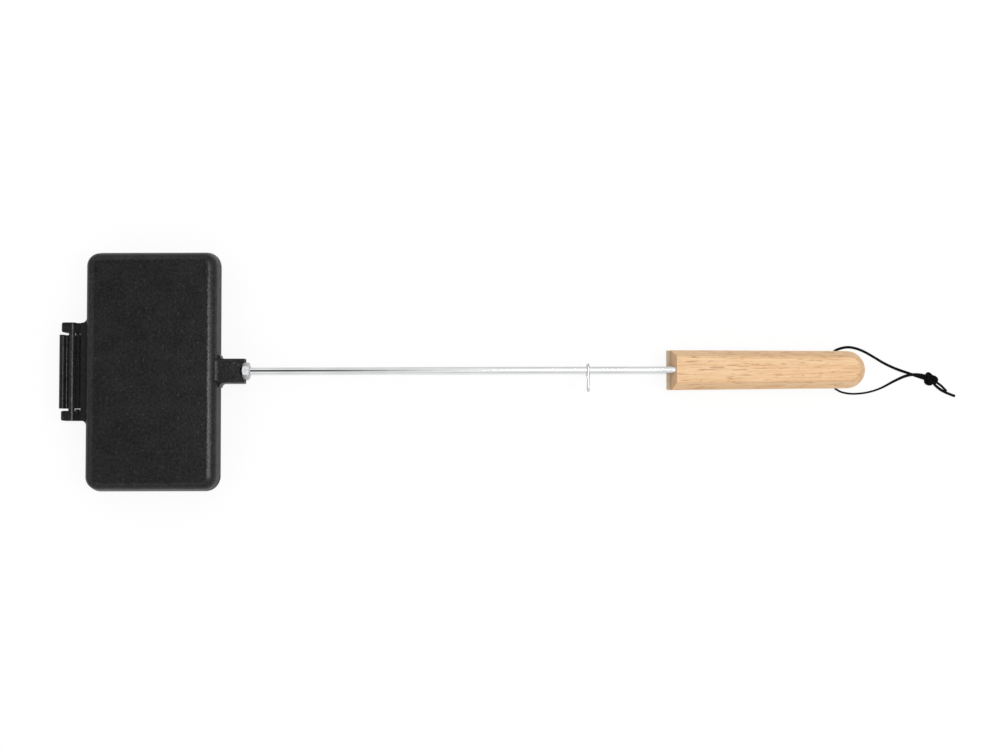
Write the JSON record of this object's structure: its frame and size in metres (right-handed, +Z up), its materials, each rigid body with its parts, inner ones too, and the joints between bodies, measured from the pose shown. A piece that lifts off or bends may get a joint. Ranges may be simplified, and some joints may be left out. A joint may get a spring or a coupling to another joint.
{
  "type": "pie iron",
  "caption": "Hinged cast-iron sandwich cooker: two rectangular shells on long steel rods, with a split wooden handle, a wire latch and a hanging cord.",
  "frame": {"origin": "on the resting surface under the middle of the length, cord left out", "axes": "+X from the hinge towards the end of the handle, +Z up, the lower shell's flat face down"},
  "size_m": [0.8923, 0.237, 0.0413],
  "materials": {
    "cast_iron": "sand-cast, oiled black, matt",
    "rod_steel": "bright drawn and plated rod",
    "nut_zinc": "bright zinc plating",
    "handle_wood": "sanded light hardwood, oiled",
    "latch_wire": "bright drawn wire",
    "cord": "black braided cord"
  },
  "bodies": {
    "lower_half": {"lower_shell": "cast_iron", "lower_rod": "rod_steel", "lower_nut": "nut_zinc", "lower_handle": "handle_wood", "cord_strand_a": "cord", "cord_strand_b": "cord", "cord_knot": "cord", "cord_tail_a": "cord", "cord_tail_b": "cord"},
    "upper_half": {"upper_shell": "cast_iron", "upper_rod": "rod_steel", "upper_nut": "nut_zinc", "upper_handle": "handle_wood"},
    "latch": {"latch_hook": "latch_wire"}
  },
  "joints": [
    {"name": "hinge", "type": "hinge", "parent": "lower_half", "child": "upper_half", "pos_m": [-0.38665, 0, 0.0253], "axis": [0, -1, 0], "range_deg": [0, 105]},
    {"name": "latch_swing", "type": "hinge", "parent": "lower_half", "child": "latch", "pos_m": [0.12395, 0, 0.0122], "axis": [-1, 0, 0], "range_deg": [0, 150]}
  ]
}
